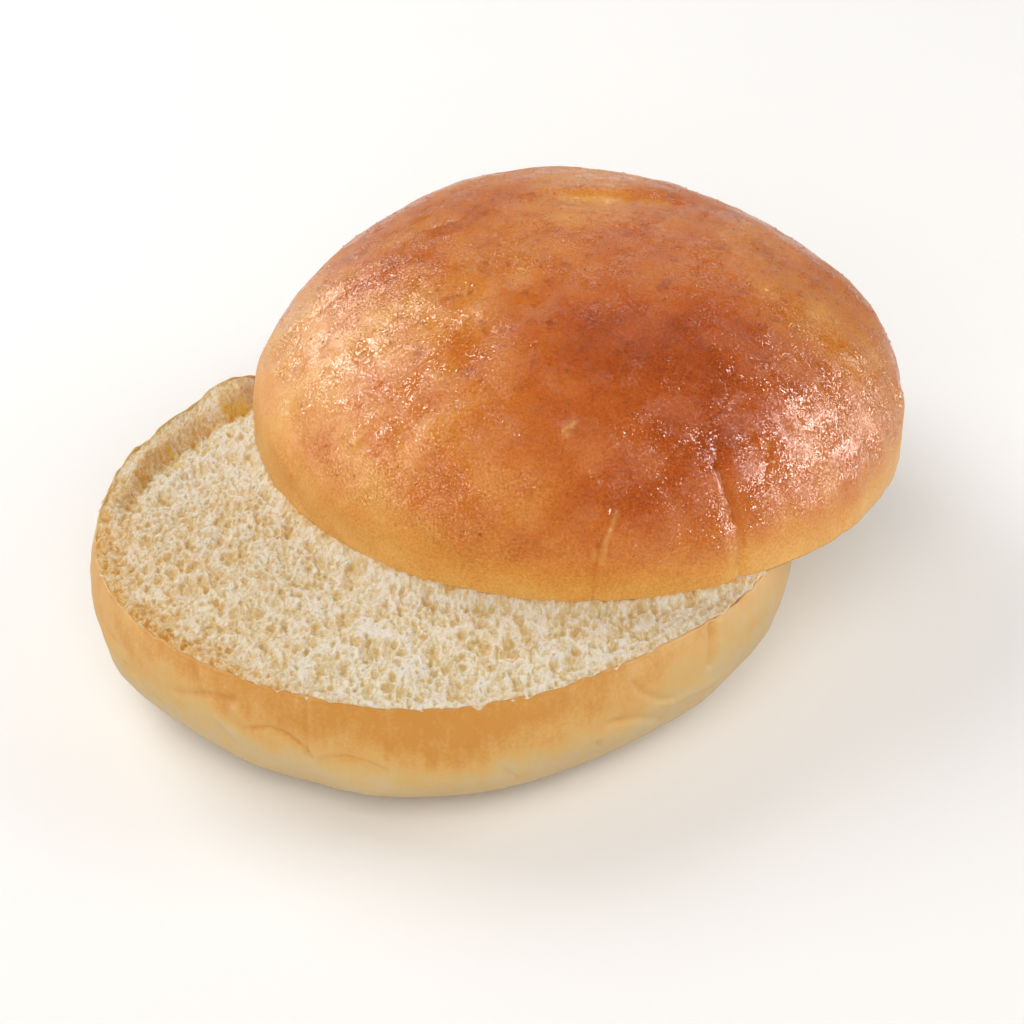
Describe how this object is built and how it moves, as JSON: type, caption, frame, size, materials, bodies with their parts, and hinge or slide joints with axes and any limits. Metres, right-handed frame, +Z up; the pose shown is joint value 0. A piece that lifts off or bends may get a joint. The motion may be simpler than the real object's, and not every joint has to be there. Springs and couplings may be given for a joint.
{
  "type": "bread roll",
  "caption": "Soft white bread roll with a glossy domed crust, sliced across its waist, with the top half resting slid back on the cut face of the bottom half.",
  "frame": {"origin": "centre of the bottom half's flat foot, on the surface that it rests on", "axes": "+Z up through the bottom half, +Y towards the side where the top half overhangs, +X to the right of someone who faces the open crescent of crumb"},
  "size_m": [0.1406, 0.1398, 0.0635],
  "materials": {
    "pale_crust": "soft matt golden to cream crust with open white crumb on the cut face",
    "glazed_crust": "egg-washed golden-brown crust with a satin shine"
  },
  "bodies": {
    "root": {"heel": "pale_crust", "crown": "glazed_crust"}
  },
  "joints": []
}
